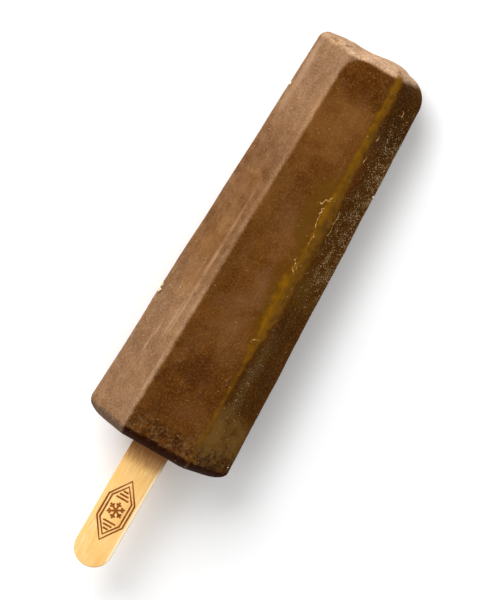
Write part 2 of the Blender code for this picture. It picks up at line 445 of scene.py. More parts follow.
def edge_curve(tree, along, length, points):
    """A distance in metres that changes along the bar as the points say."""
    share = add_node(tree, "ShaderNodeMapRange", {
        "Value": along, "From Min": -0.02 * length, "From Max": 1.02 * length})
    height = add_node(tree, "ShaderNodeFloatCurve", {"Value": share})
    line = height.node.mapping.curves[0]
    places = [((y * MM / length + 0.02) / 1.04, 0.5 + d / (2 * CURVE_REACH)) for y, d in points]
    line.points[0].location = places[0]
    line.points[1].location = places[-1]
    for place in places[1:-1]:
        line.points.new(*place)
    height.node.mapping.update()
    return add_node(tree, "ShaderNodeMapRange", {
        "Value": height, "To Min": -CURVE_REACH * MM, "To Max": CURVE_REACH * MM})


def relief_tree(sizes, material):
    """Marks where the mix has melted and lowers the surface: the melted band, hollows and grain."""
    tree = bpy.data.node_groups.new("Frozen Surface", "GeometryNodeTree")
    socket_names(tree, (
        ("Melt Depth", "NodeSocketFloat", 0.16 * MM),
        ("Hollow Depth", "NodeSocketFloat", 0.35 * MM),
        ("Grain Depth", "NodeSocketFloat", 0.08 * MM),
        ("Ragged Edge", "NodeSocketFloat", 0.8 * MM),
    ))
    geometry, melt_depth, hollow_depth, grain_depth, ragged_edge = (
        add_node(tree, "NodeGroupInput", take=k) for k in range(5))
    place = add_node(tree, "GeometryNodeInputPosition")
    along, off_ridge = (add_node(tree, "GeometryNodeInputNamedAttribute", {"Name": name},
                                 take="Attribute", data_type="FLOAT")
                        for name in ("along", "right_ridge"))

    ragged = wobble(tree, place, 1.4 * MM, ragged_edge, detail=4.0)
    off_ridge = sum_of(tree, off_ridge, all_of(tree, ragged, 2.0))
    past_left, past_right, past_wash = (
        add_node(tree, "ShaderNodeMath", (off_ridge, edge_curve(tree, along, sizes.length, points)),
                 operation="SUBTRACT") for points in (MELT_LEFT, MELT_RIGHT, WASH_LEFT))
    soft = 0.5 * MM
    melt = all_of(tree, zone(tree, past_left, (-soft, soft)), zone(tree, past_right, (soft, -soft)))
    wash = all_of(tree, zone(tree, past_wash, (-2 * soft, 2 * soft)), zone(tree, off_ridge, (0.9 * MM, 0.0)),
                  clouds(tree, place, 3.0 * MM, 0.32, 0.55, seed=0.3))

    depth = sum_of(tree, all_of(tree, melt, melt_depth), all_of(tree, wash, melt_depth, 0.5),
                   all_of(tree, clouds(tree, place, 14.0 * MM, detail=1.0, seed=0.7), hollow_depth),
                   all_of(tree, clouds(tree, place, 1.3 * MM, seed=1.1), grain_depth))
    height = add_node(tree, "ShaderNodeSeparateXYZ", (place,), take="Z")
    depth = all_of(tree, depth, zone(tree, height, (0.4 * MM, 2.5 * MM)), -1.0)
    inward = add_node(tree, "ShaderNodeVectorMath", {
        0: add_node(tree, "GeometryNodeInputNormal"), "Scale": depth}, operation="SCALE")
    geometry = add_node(tree, "GeometryNodeSetPosition", {"Geometry": geometry, "Offset": inward})
    for name, value in (("melt", melt), ("wash", wash)):
        geometry = add_node(tree, "GeometryNodeStoreNamedAttribute", {
            "Geometry": geometry, "Name": name, "Value": value}, data_type="FLOAT")
    end_tree(tree, geometry, material)
    return tree


# Materials -------------------------------------------------------------------------------------


def new_material(name):
    material = bpy.data.materials.new(name)
    material.use_nodes = True
    tree = material.node_tree
    return material, tree, tree.nodes["Principled BSDF"]


def stained(tree, colour, place, along, ridges):
    """Lays every stain over the colour: wide ones with wandering edges, thin ones broken up."""
    wander = wobble(tree, place, 4.5 * MM, 1.0, detail=4.0, seed=3.0)
    broken = clouds(tree, place, 2.6 * MM, 0.22, 0.66, detail=4.0, seed=4.0)
    for ridge, across, middle, half_width, half_length, tone, strength in STAINS:
        aside = add_node(tree, "ShaderNodeMapRange", {
            "Value": ridges[ridge], "From Min": across * MM, "From Max": (across + half_width) * MM},
            clamp=False)
        ahead = add_node(tree, "ShaderNodeMapRange", {
            "Value": along, "From Min": middle * MM, "From Max": (middle + half_length) * MM},
            clamp=False)
        thin = half_width < 1.0
        gap = sum_of(tree, all_of(tree, aside, aside), all_of(tree, ahead, ahead),
                     all_of(tree, wander, 0.6 if thin else 3.2))
        share = zone(tree, gap, (1.2, 0.1) if thin else (1.7, -0.3))
        colour = laid_over(tree, colour, linear(tone), share, strength, broken if thin else 1.0)
    return colour


def frost_and_painted_light(tree, sizes, place, along, left, curds, streaks):
    """How thick the pale layer is, partly frost and partly painted light: it lies left of the left ridge,
    over the tip, and round the worn corner between them, where the bar faces the lamps, and it
    holds a painted highlight along the left ridge."""
    corner = 5.0 * MM
    beside = add_node(tree, "ShaderNodeMath", (corner, left), operation="SUBTRACT")
    beyond = sum_of(tree, along, corner + 1.0 * MM - sizes.length)
    offset = add_node(tree, "ShaderNodeCombineXYZ", (beside, beyond))
    offset = add_node(tree, "ShaderNodeVectorMath", (offset, (0.0, 0.0, 0.0)), operation="MAXIMUM")
    reach = add_node(tree, "ShaderNodeVectorMath", (offset,), take="Value", operation="LENGTH")
    reach = sum_of(tree, reach, wobble(tree, place, 1.5 * MM, 0.8 * MM, seed=2.5))
    frost_and_light_zone = zone(tree, reach, (corner - 0.6 * MM, corner + 0.6 * MM))
    frost = sum_of(tree, 0.05, all_of(tree, zone(tree, along, (68 * MM, 96 * MM)), 0.13),
                   all_of(tree, zone(tree, along, (50 * MM, 30 * MM)), 0.12), all_of(tree, curds, 0.07),
                   all_of(tree, streaks, 0.03),
                   # Painted highlight along the left ridge, in patches
                   all_of(tree, zone(tree, left, (-2.0 * MM, -0.8 * MM), (1.0 * MM, -0.2 * MM)),
                          clouds(tree, place, 5.0 * MM, 0.25, 0.65, seed=2.3), 0.10))
    # The tip, facing the lamps, made paler: partly frost, partly painted light
    at_tip = all_of(tree, zone(tree, along, (sizes.length - 2.4 * MM, sizes.length - 0.6 * MM)),
                    sum_of(tree, all_of(tree, curds, 0.24), 0.22))
    return all_of(tree, frost_and_light_zone, sum_of(tree, frost, at_tip))


def gelato_material(sizes, colours):
    """Gelato: cocoa, milk and sugar frozen in a metal mould. Its face is a dull, cloudy brown under a
    pale layer that is partly frost and partly painted light, paler on the left and at the tip, which
    face the lamps, with a painted highlight along the left ridge; the right side, the swell past the
    mouth and the small dents carry painted shade; melted syrup is darker, ochre and glossy.
    """
    material, tree, shader = new_material("Moulded chocolate gelato, frosted")
    place = add_node(tree, "ShaderNodeTexCoord", take="Object")
    along, left, right, melt, wash, pit = (
        add_node(tree, "ShaderNodeAttribute", take="Fac", attribute_name=name)
        for name in ("along", "left_ridge", "right_ridge", "melt", "wash", "pit"))

    patches = clouds(tree, place, 9.0 * MM, 0.36, 0.64, detail=4.0)
    curds = clouds(tree, place, 3.0 * MM, 0.30, 0.72, detail=5.0, seed=0.5)
    grain = clouds(tree, place, 0.45 * MM, 0.28, 0.72, detail=2.0, seed=0.9)
    colour = laid_over(tree, colours.cocoa_dark, colours.cocoa, patches)
    colour = laid_over(tree, colour, colours.cocoa_light, curds, 0.42)
    # Painted shade: the right side, which faces away from the lamps, is laid over with a darker colour
    bare = zone(tree, right, (0.2 * MM, 1.2 * MM))
    colour = laid_over(tree, colour, colours.right_side_shade, bare, 0.85)
    colour = stained(tree, colour, place, along, {"left": left, "right": right})

    # Crumbly, darker mix towards the mould's mouth, and painted shade over the swell past it
    near_mouth = all_of(tree, zone(tree, along, (7.0 * MM, 2.5 * MM)),
                        zone(tree, left, (-0.5 * MM, 1.0 * MM)))
    colour = laid_over(tree, colour, colours.swell, near_mouth, 0.75,
                       clouds(tree, place, 1.6 * MM, 0.40, 0.58, detail=5.0, seed=1.7))
    colour = laid_over(tree, colour, colours.dust, near_mouth, 0.55,
                       clouds(tree, place, 0.8 * MM, 0.50, 0.66, detail=5.0, seed=1.3))
    # Painted shade: the swell past the mouth faces away from the lamps and is laid almost black
    rim = sum_of(tree, along, wobble(tree, place, 1.2 * MM, 1.6 * MM, seed=1.9))
    colour = laid_over(tree, colour, colours.swell, zone(tree, rim, (0.0, -0.7 * MM)), 0.97)

    # Fine grain, darker and lighter than the mix
    colour = laid_over(tree, colour, colours.swell, grain, 0.24)
    colour = laid_over(tree, colour, colours.grain_light, 0.34,
                       clouds(tree, place, 0.5 * MM, 0.42, 0.75, detail=2.0, seed=2.1),
                       zone(tree, along, (-0.5 * MM, 1.0 * MM)))

    drawn = add_node(tree, "ShaderNodeMapping", {"Vector": place, "Scale": (1.0, 0.12, 1.0)})
    streaks = clouds(tree, drawn, 1.1 * MM, 0.45, 0.72, detail=4.0, seed=2.7)
    # Pale layer: partly frost, partly painted light on the left side and the tip, with the painted highlight
    # on the left ridge
    frost_and_light_share = all_of(tree, frost_and_painted_light(tree, sizes, place, along, left, curds, streaks),
                  sum_of(tree, all_of(tree, grain, 0.8), 0.6))
    colour = laid_over(tree, colour, colours.frost, frost_and_light_share)
    colour = laid_over(tree, colour, colours.frost, streaks, 0.02)

    # Melted syrup: a wash of it, the band, and the band's brighter middle
    colour = laid_over(tree, colour, colours.syrup_dark, wash, 0.7)
    syrup = laid_over(tree, colours.syrup_dark, colours.syrup,
                      clouds(tree, place, 2.2 * MM, 0.3, 0.7, detail=4.0, seed=0.2))
    upper = zone(tree, along, (24 * MM, 36 * MM))
    colour = laid_over(tree, colour, syrup, melt, sum_of(tree, 0.78, all_of(tree, upper, 0.10)))
    colour = laid_over(tree, colour, colours.syrup, melt, upper, 0.6,
                       zone(tree, right, (-1.1 * MM, -0.1 * MM), (1.9 * MM, 0.7 * MM)),
                       clouds(tree, place, 1.2 * MM, 0.25, 0.65, detail=4.0, seed=0.6))
    # Painted shade in the small dents, as deep as each dent goes
    colour = laid_over(tree, colour, colours.cocoa_dark, pit, 0.55)
    tree.links.new(colour, shader.inputs["Base Color"])

    wet = add_node(tree, "ShaderNodeMath", (melt, all_of(tree, wash, 0.6)), operation="MAXIMUM")
    roughness = sum_of(tree, 0.66, all_of(tree, wet, -0.30), all_of(tree, frost_and_light_share, 0.12))
    tree.links.new(roughness, shader.inputs["Roughness"])
    tree.links.new(all_of(tree, wet, 0.10), shader.inputs["Coat Weight"])
    texture = sum_of(tree, all_of(tree, grain, 0.6), clouds(tree, place, 1.6 * MM, seed=0.8))
    bump = add_node(tree, "ShaderNodeBump", {"Height": texture, "Distance": 0.10 * MM, "Strength": 0.6})
    tree.links.new(bump, shader.inputs["Normal"])
    shader.inputs["Coat Roughness"].default_value = 0.25
    shader.inputs["Specular IOR Level"].default_value = 0.02
    shader.inputs["Subsurface Weight"].default_value = 0.08
    shader.inputs["Subsurface Radius"].default_value = (1.0, 0.5, 0.25)
    shader.inputs["Subsurface Scale"].default_value = 1.5 * MM
    return material


def birch_material(sizes, colours):
    """Birch veneer, cut flat, tumbled smooth and left bare: pale, with fine short fibres along its
    length, a painted highlight along one edge and painted shade along the other, and brown that
    deepens towards the bar.
    """
    material, tree, shader = new_material("Birch veneer, tumbled")
    place = add_node(tree, "ShaderNodeTexCoord", take="Object")
    drawn = add_node(tree, "ShaderNodeMapping", {"Vector": place, "Scale": (1.0, 0.10, 1.0)})
    fibres = clouds(tree, drawn, 0.28 * MM, 0.25, 0.75, detail=4.0)
    flecks = clouds(tree, drawn, 0.9 * MM, 0.52, 0.72, detail=3.0, seed=0.6)
    blotches = clouds(tree, place, 4.0 * MM, 0.30, 0.70, seed=0.4)
    wood = laid_over(tree, colours.birch, colours.birch_dark, fibres, 0.70)
    wood = laid_over(tree, wood, colours.birch_dark, flecks, 0.75)
    wood = laid_over(tree, wood, colours.birch_warm, blotches, 0.70)
    x, y = (add_node(tree, "ShaderNodeSeparateXYZ", (place,), take=axis) for axis in "XY")
    edge = sizes.stick_width / 2
    # Painted highlight along the right edge
    wood = laid_over(tree, wood, colours.birch_edge_highlight, 0.8, zone(tree, x, (edge - 1.0 * MM, edge - 0.5 * MM)),
                     clouds(tree, drawn, 0.8 * MM, 0.2, 0.5, seed=0.8))
    # Painted shade along the left edge
    wood = laid_over(tree, wood, colours.birch_dark, 0.7, zone(tree, x, (0.5 * MM - edge, 0.1 * MM - edge)))
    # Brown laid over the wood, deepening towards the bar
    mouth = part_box("ice_cream")[0][1]
    soaked = sum_of(tree, y, all_of(tree, sum_of(tree, fibres, -0.5), 1.4 * MM))
    for start, end, share in ((6.4, 3.2, 0.62), (4.0, 0.4, 0.82)):
        wet = zone(tree, soaked, (mouth - start * MM, mouth - end * MM))
        wood = laid_over(tree, wood, colours.stain, wet, share)
    tree.links.new(wood, shader.inputs["Base Color"])
    tree.links.new(sum_of(tree, 0.46, all_of(tree, fibres, 0.2)), shader.inputs["Roughness"])
    bump = add_node(tree, "ShaderNodeBump", {"Height": fibres, "Distance": 0.04 * MM, "Strength": 0.4})
    tree.links.new(bump, shader.inputs["Normal"])
    shader.inputs["Specular IOR Level"].default_value = 0.3
    return material


def speckled_material(name, light, dark, size, roughness):
    """A dull material whose colour wanders between two tones in spots of about size."""
    material, tree, shader = new_material(name)
    spots = clouds(tree, add_node(tree, "ShaderNodeTexCoord", take="Object"), size, 0.3, 0.7, detail=2.0)
    tree.links.new(laid_over(tree, dark, light, spots), shader.inputs["Base Color"])
    uneven = sum_of(tree, roughness, all_of(tree, spots, 0.15))
    tree.links.new(uneven, shader.inputs["Roughness"])
    shader.inputs["Specular IOR Level"].default_value = 0.2
    return material


# Small things on the bar -----------------------------------------------------------------------


def front_point(sizes, x, y):
    """The point of the moulded front, sloping faces included, over (x, y) in the mould's frame."""
    share = y / sizes.length
    thickness = mix(sizes.base_half_thickness, sizes.tip_half_thickness, share)
    front = mix(sizes.base_half_front, sizes.tip_half_front, share)
    return Vector((x, y, thickness - max(0.0, abs(x) - front) * math.tan(SLOPE_ANGLE)))


def path_curve(name, lines):
    """A curve object of straight lines, each a (closed or not, points) pair."""
    curve = bpy.data.curves.new(name, "CURVE")
    curve.dimensions = "3D"
    for closed, points in lines:
        line = curve.splines.new("POLY")
        line.use_cyclic_u = closed
        line.points.add(len(points) - 1)
        for point, place in zip(line.points, points):
            point.co = (*place, 1.0)
    return new_object(name, curve)


def flake_tree(material):
    """A thin, broken ridge of pale flakes along each path, pulled onto the bar's surface."""
    tree = bpy.data.node_groups.new("Flaked Edge", "GeometryNodeTree")
    socket_names(tree, (("Bar", "NodeSocketObject", None), ("Half Width", "NodeSocketFloat", 0.15 * MM),
                        ("Step", "NodeSocketFloat", 0.16 * MM), ("Wander", "NodeSocketFloat", 1.6 * MM)))
    paths, bar, half_width, step, wander = (add_node(tree, "NodeGroupInput", take=k) for k in range(5))
    surface = add_node(tree, "GeometryNodeObjectInfo", {"Object": bar}, take="Geometry")
    nearest = add_node(tree, "GeometryNodeProximity", {0: surface}, target_element="FACES")
    place = add_node(tree, "GeometryNodeInputPosition")
    line = add_node(tree, "GeometryNodeResampleCurve", {"Curve": paths, "Length": step}, mode="LENGTH")
    line = add_node(tree, "GeometryNodeSetPosition", {"Geometry": line, "Position": nearest})
    aside = add_node(tree, "ShaderNodeTexNoise", {"Vector": place, "Scale": 1.0 / (0.9 * MM)}, take=1)
    aside = add_node(tree, "ShaderNodeVectorMath", (aside, (0.5, 0.5, 0.5)), operation="SUBTRACT")
    aside = add_node(tree, "ShaderNodeVectorMath", {0: aside, "Scale": wander}, operation="SCALE")
    line = add_node(tree, "GeometryNodeSetPosition", {"Geometry": line, "Offset": aside})
    line = add_node(tree, "GeometryNodeSetPosition", {"Geometry": line, "Position": nearest})
    ends = zone(tree, add_node(tree, "GeometryNodeSplineParameter"), (0.0, 0.25), (1.0, 0.75))
    girth = all_of(tree, sum_of(tree, ends, 0.15), clouds(tree, place, 0.8 * MM, 0.36, 0.62, detail=2.0))
    line = add_node(tree, "GeometryNodeSetCurveRadius", {"Curve": line, "Radius": sum_of(tree, girth, 0.1)})
    ring = add_node(tree, "GeometryNodeCurvePrimitiveCircle", {"Resolution": 6, "Radius": half_width},
                    mode="RADIUS")
    flakes = add_node(tree, "GeometryNodeCurveToMesh", {
        "Curve": line, "Profile Curve": ring, "Fill Caps": True,
        "Scale": add_node(tree, "GeometryNodeInputRadius")})
    end_tree(tree, flakes, material)
    return tree


def crystal_tree(material):
    """Frost crystals scattered over the bar's faces, thickest by the right side's outer edge."""
    tree = bpy.data.node_groups.new("Frost Crystals", "GeometryNodeTree")
    socket_names(tree, (("Per Square Metre", "NodeSocketFloat", 2.4e7),
                        ("Smallest", "NodeSocketFloat", 0.03 * MM),
                        ("Largest", "NodeSocketFloat", 0.11 * MM), ("Seed", "NodeSocketInt", 7)))
    bar, per_square, smallest, largest, seed = (add_node(tree, "NodeGroupInput", take=k) for k in range(5))
    along, right, left = (add_node(tree, "GeometryNodeInputNamedAttribute", {"Name": name},
                                   take="Attribute", data_type="FLOAT")
                          for name in ("along", "right_ridge", "left_ridge"))
    place = add_node(tree, "GeometryNodeInputPosition")
    edge = all_of(tree, zone(tree, right, (2.5 * MM, 10.0 * MM)),
                  zone(tree, along, (42 * MM, 62 * MM), (103 * MM, 88 * MM)))
    lower = all_of(tree, zone(tree, right, (1.0 * MM, 3.0 * MM), (8.0 * MM, 4.0 * MM)),
                   zone(tree, along, (8 * MM, 16 * MM), (40 * MM, 30 * MM)), 0.12)
    on_left = all_of(tree, zone(tree, left, (0.5 * MM, -0.5 * MM)), 0.02)
    share = all_of(tree, sum_of(tree, edge, lower, on_left, 0.012),
                   clouds(tree, place, 1.8 * MM, 0.36, 0.84, detail=5.0))
    height = add_node(tree, "ShaderNodeSeparateXYZ", (place,), take="Z")
    share = all_of(tree, share, zone(tree, height, (3.0 * MM, 6.0 * MM)))
    points = add_node(tree, "GeometryNodeDistributePointsOnFaces", {
        "Mesh": bar, "Density": all_of(tree, share, per_square), "Seed": seed})
    crystal = add_node(tree, "GeometryNodeMeshIcoSphere", {"Radius": 1.0, "Subdivisions": 1})
    size = add_node(tree, "FunctionNodeRandomValue", {2: smallest, 3: largest, "Seed": 3}, take=1,
                    data_type="FLOAT")
    turn = add_node(tree, "FunctionNodeRandomValue", {1: (math.tau, math.tau, math.tau), "Seed": 5},
                    data_type="FLOAT_VECTOR")
    crystals = add_node(tree, "GeometryNodeInstanceOnPoints", {
        "Points": points, "Instance": crystal, "Rotation": turn, "Scale": size})
    end_tree(tree, crystals, material)
    return tree


def crumb_tree(material):
    """A broken crumb on each point, as large as the point's own half sizes say."""
    tree = bpy.data.node_groups.new("Crumbs", "GeometryNodeTree")
    socket_names(tree, (("Break Depth", "NodeSocketFloat", 0.7 * MM),
                        ("Break Size", "NodeSocketFloat", 0.6 * MM)))
    places, break_depth, break_size = (add_node(tree, "NodeGroupInput", take=k) for k in range(3))
    ball = add_node(tree, "GeometryNodeMeshIcoSphere", {"Radius": 1.0, "Subdivisions": 3})
    size = add_node(tree, "GeometryNodeInputNamedAttribute", {"Name": "half_size"}, take="Attribute",
                    data_type="FLOAT_VECTOR")
    crumbs = add_node(tree, "GeometryNodeInstanceOnPoints", {
        "Points": places, "Instance": ball, "Scale": size})
    crumbs = add_node(tree, "GeometryNodeRealizeInstances", (crumbs,))
    scale = add_node(tree, "ShaderNodeMath", (1.0, break_size), operation="DIVIDE")
    breaks = add_node(tree, "ShaderNodeTexNoise", {
        "Vector": add_node(tree, "GeometryNodeInputPosition"), "Scale": scale})
    push = all_of(tree, sum_of(tree, breaks, -0.5), break_depth)
    offset = add_node(tree, "ShaderNodeVectorMath", {
        0: add_node(tree, "GeometryNodeInputNormal"), "Scale": push}, operation="SCALE")
    crumbs = add_node(tree, "GeometryNodeSetPosition", {"Geometry": crumbs, "Offset": offset})
    end_tree(tree, crumbs, material)
    return tree


def crumb_points(sizes):
    """One point for each crumb, with its half sizes."""
    mesh = bpy.data.meshes.new("crumbs")
    mesh.from_pydata([laid_down(sizes) @ (Vector(place) * MM) for place, _ in CRUMBS], [], [])
    half_sizes = mesh.attributes.new("half_size", "FLOAT_VECTOR", "POINT")
    for item, (place, size) in zip(half_sizes.data, CRUMBS):
        item.vector = Vector(size) * MM
    return new_object("crumbs", mesh)


# Stick and its burned mark ---------------------------------------------------------------------

# The mark, in mm and degrees: its middle (x, y), the star's arms, which fork into twigs, the half
# width and half length of each frame, and half the length of a frame's straight sides
MARK_MIDDLE = (0.0, -22.4)
STAR_ARM = 2.3
STAR_FORK = 1.3
STAR_TWIG = 0.8
TWIG_ANGLE = 55
MARK_FRAMES = ((3.6, 8.5), (2.75, 6.9))
FRAME_SIDE = 3.2


def stick_outline(sizes):
    """The stick's outline (x, y): two half circles joined by straight sides."""
    straight = (sizes.stick_length - sizes.stick_width) / 2
    middle = sizes.stick_length / 2 - sizes.stick_shown
    outline = []
    for end in (1, -1):
        for k in range(STICK_END_STEPS + 1):
            x, y = unit(math.pi * k / STICK_END_STEPS) * end * sizes.stick_width / 2
            outline.append((x, y + middle + end * straight))
    return outline


def stick_mesh(sizes):
    """The flat stick, with round ends and softly rounded edges."""
    strip = path_curve("birch_stick", [(True, [(x, y, 0.0) for x, y in stick_outline(sizes)])])
    strip.data.dimensions = "2D"
    strip.data.fill_mode = "BOTH"
    strip.data.extrude = sizes.stick_thickness / 2 - sizes.stick_edge
    strip.data.bevel_depth = sizes.stick_edge
    strip.data.bevel_resolution = 3
    strip.data.offset = -sizes.stick_edge
    bpy.context.view_layer.update()
    mesh = bpy.data.meshes.new_from_object(strip.evaluated_get(bpy.context.evaluated_depsgraph_get()))
    bpy.data.objects.remove(strip)
    shape = bmesh.new()
    shape.from_mesh(mesh)
    bmesh.ops.remove_doubles(shape, verts=shape.verts, dist=0.01 * MM)
    bmesh.ops.recalc_face_normals(shape, faces=shape.faces)
    shape.to_mesh(mesh)
    shape.free()
    mesh.materials.clear()
    mesh.transform(laid_down(sizes))
    mesh.shade_smooth()
    mesh.set_sharp_from_angle(angle=math.radians(40.0))
    return mesh


def mark_lines(sizes):
    """The mark's lines: a six-armed frost star, with strokes above and below, in a pointed frame."""
    middle = Vector(MARK_MIDDLE)
    lines = []
    for k in range(6):
        angle = 30 + 60 * k
        arm = unit(math.radians(angle))
        fork = middle + arm * STAR_FORK
        lines.append((False, [middle, middle + arm * STAR_ARM]))
        for turn in (-TWIG_ANGLE, TWIG_ANGLE):
            lines.append((False, [fork, fork + unit(math.radians(angle + turn)) * STAR_TWIG]))
    for half_width, half_length in MARK_FRAMES:
        corners = [(0, half_length), (half_width, FRAME_SIDE), (half_width, -FRAME_SIDE),
                   (0, -half_length), (-half_width, -FRAME_SIDE), (-half_width, FRAME_SIDE)]
        lines.append((True, [middle + Vector(corner) for corner in corners]))
    for up in (-1, 1):
        for k in range(3):
            half, y = 1.7 - 0.5 * k, up * (3.4 + 0.95 * k)
            lines.append((False, [middle + Vector((-half, y)), middle + Vector((half, y))]))
    place, face = laid_down(sizes), sizes.stick_thickness / 2
    return [(closed, [place @ Vector((x * MM, y * MM, face)) for x, y in points])
            for closed, points in lines]


def mark_tree(material):
    """Sweeps a flat line, barely above the wood, along each line of the mark."""
    tree = bpy.data.node_groups.new("Burned Lines", "GeometryNodeTree")
    socket_names(tree, (("Line Width", "NodeSocketFloat", 0.5 * MM),
                        ("Line Height", "NodeSocketFloat", 0.05 * MM)))
    paths, width, height = (add_node(tree, "NodeGroupInput", take=k) for k in range(3))
    section = add_node(tree, "GeometryNodeCurvePrimitiveQuadrilateral", {"Width": width, "Height": height})
    upright = add_node(tree, "GeometryNodeSetCurveNormal", {"Curve": paths}, mode="Z_UP")
    burned = add_node(tree, "GeometryNodeCurveToMesh", {
        "Curve": upright, "Profile Curve": section, "Fill Caps": True})
    end_tree(tree, burned, material)
    return tree


# The panel's values ----------------------------------------------------------------------------


def size_of(name, text, millimetres):
    return bpy.props.FloatProperty(name=name, description=text, default=millimetres * MM, min=0.0,
                                   precision=5, subtype="DISTANCE", unit="LENGTH")


def colour_of(name, text, colour):
    return bpy.props.FloatVectorProperty(name=name, description=text, default=linear(colour), size=4,
                                         min=0.0, max=1.0, subtype="COLOR")


class FrozenBarSizes(bpy.types.PropertyGroup):
    """Sizes of the moulded bar and its stick"""
    length: size_of("Length", "From the mould's mouth to the tip", 108.0)
    base_half_width: size_of("Base half width", "At the mould's mouth", 19.65)
    base_half_thickness: size_of("Base half thickness", "At the mould's mouth", 11.9)
    base_half_front: size_of("Base half front", "Half the flat front face, at the mouth", 9.35)
    tip_half_width: size_of("Tip half width", "At the plane of the tip", 15.2)
    tip_half_thickness: size_of("Tip half thickness", "At the plane of the tip", 8.8)
    tip_half_front: size_of("Tip half front", "Half the flat front face, at the tip", 6.8)
    ridge_radius: size_of("Ridge radius", "Rounding where two faces meet", 1.8)
    swell: size_of("Swell", "How far the stick end swells out of the mould", 4.4)
    front_rim: size_of("Front rim", "Rounding of the tip's front and back edges", 1.7)
    left_rim: size_of("Left rim", "Rounding of the tip's left corner", 2.4)
    right_rim: size_of("Right rim", "Rounding of the tip's right corner", 6.0)
    melt_depth: size_of("Melt depth", "How far the melted band has sunk", 0.16)
    hollow_depth: size_of("Hollow depth", "Depth of the broad hollows", 0.35)
    crystal: size_of("Crystal", "Half size of the largest frost crystal", 0.11)
    flake: size_of("Flake", "Half width of a flaked edge", 0.15)
    stick_length: size_of("Stick length", "From end to end", 114.0)
    stick_width: size_of("Stick width", "Across the flat face", 10.0)
    stick_thickness: size_of("Stick thickness", "Through the veneer", 2.0)
    stick_shown: size_of("Stick shown", "From the mould's mouth to the stick's end", 38.6)
    stick_edge: size_of("Stick edge", "Rounding of the stick's edges", 0.45)
    line_width: size_of("Mark line", "Width of the burned mark's lines", 0.50)


class FrozenBarColours(bpy.types.PropertyGroup):
    """Colours of the bar, its frost and its stick"""
    cocoa: colour_of("Cocoa", "The mix under its frost", "#5c350d")
    # Denser mix; also laid into the small dents as painted shade
    cocoa_dark: colour_of("Dark cocoa", "Denser mix", "#4d2804")
    cocoa_light: colour_of("Light cocoa", "Airy mix", "#6f4722")
    grain_light: colour_of("Light grain", "Ice grains in the mix", "#855a24")
    # Painted shade for the right side, which faces away from the lamps
    right_side_shade: colour_of("Bare side", "The mix where no frost has settled", "#462600")
    # Dark mix; also laid almost solid over the swell past the mouth as painted shade
    swell: colour_of("Swell", "Dark mix at the stick end", "#280a00")
    dust: colour_of("Dust", "Grey frost near the stick end", "#655a3c")
    # Pale colour laid on the left side and tip, as frost and as painted light
    frost: colour_of("Frost", "Frost with cocoa in it", "#c9a685")
    crystal: colour_of("Crystals", "Loose frost crystals", "#d2b98e")
    crystal_dark: colour_of("Dull crystals", "Loose frost with cocoa on it", "#8f7345")
    flake: colour_of("Flakes", "Dried edge of the melted band", "#c29c66")
    crumb: colour_of("Crumbs", "Frozen milk", "#efe2cf")
    syrup: colour_of("Syrup", "Melted mix", "#7c5100")
    syrup_dark: colour_of("Dark syrup", "Thick melted mix", "#563600")
    birch: colour_of("Birch", "Bare wood", "#fbd592")
    birch_warm: colour_of("Warm birch", "Sap-stained wood", "#f2bb69")
    # Darker fibres; also laid along the stick's left edge as painted shade
    birch_dark: colour_of("Birch fibres", "Darker fibres and flecks", "#dfa75c")
    # Painted highlight for the stick's right edge
    birch_edge_highlight: colour_of("Birch edge", "Worn, pale edge", "#fdecc8")
    # Brown laid on the stick, deepening towards the bar
    stain: colour_of("Stain", "Mix soaked into the wood", "#8a4f12")
    burn: colour_of("Burned mark", "Scorched wood", "#a05a12")
    burn_dark: colour_of("Charred mark", "Wood scorched darker", "#743a06")


class FROZENBAR_OT_gelato(bpy.types.Operator):
    """Make the moulded bar with its melted band and dents"""
    bl_idname = "frozenbar.gelato"
    bl_label = "Moulded Gelato"

    def execute(self, context):
        sizes, colours = context.scene.frozen_bar_sizes, context.scene.frozen_bar_colours
        tree = relief_tree(sizes, gelato_material(sizes, colours))
        bar = made_by(new_object("gelato_bar", bar_mesh(sizes)), tree,
                      melt_depth=sizes.melt_depth, hollow_depth=sizes.hollow_depth)
        finish_piece(bar, "ice_cream")
        return {"FINISHED"}


class FROZENBAR_OT_frost(bpy.types.Operator):
    """Scatter frost crystals and crumbs on the bar, and flakes along its melted band"""
    bl_idname = "frozenbar.frost"
    bl_label = "Frost, Flakes and Crumbs"

    def execute(self, context):
        sizes, colours = context.scene.frozen_bar_sizes, context.scene.frozen_bar_colours
        bar = bpy.data.objects["gelato_bar"]
        # Frost: loose ice grains dusted with cocoa, dull and sandy
        frost = speckled_material("Frost, dusted with cocoa", colours.crystal, colours.crystal_dark,
                                  0.6 * MM, 0.55)
        # Dried syrup: a thin golden crust with a slight gloss
        crust = speckled_material("Cocoa syrup, dried", colours.flake, colours.syrup, 0.5 * MM, 0.4)
        # Milk ice: a pale crumb broken from another bar
        milk = speckled_material("Milk ice, broken", colours.crumb, colours.crystal, 0.5 * MM, 0.45)
        down = laid_down(sizes)
        paths = [(False, [down @ front_point(sizes, x * MM, y * MM) for x, y in path])
                 for path in FLAKE_PATHS]
        for piece in (
            made_by(new_object("frost_crystals", bar.data.copy()), crystal_tree(frost),
                    largest=sizes.crystal),
            made_by(path_curve("flakes", paths), flake_tree(crust), bar=bar, half_width=sizes.flake),
            made_by(crumb_points(sizes), crumb_tree(milk)),
        ):
            finish_piece(piece)
        return {"FINISHED"}


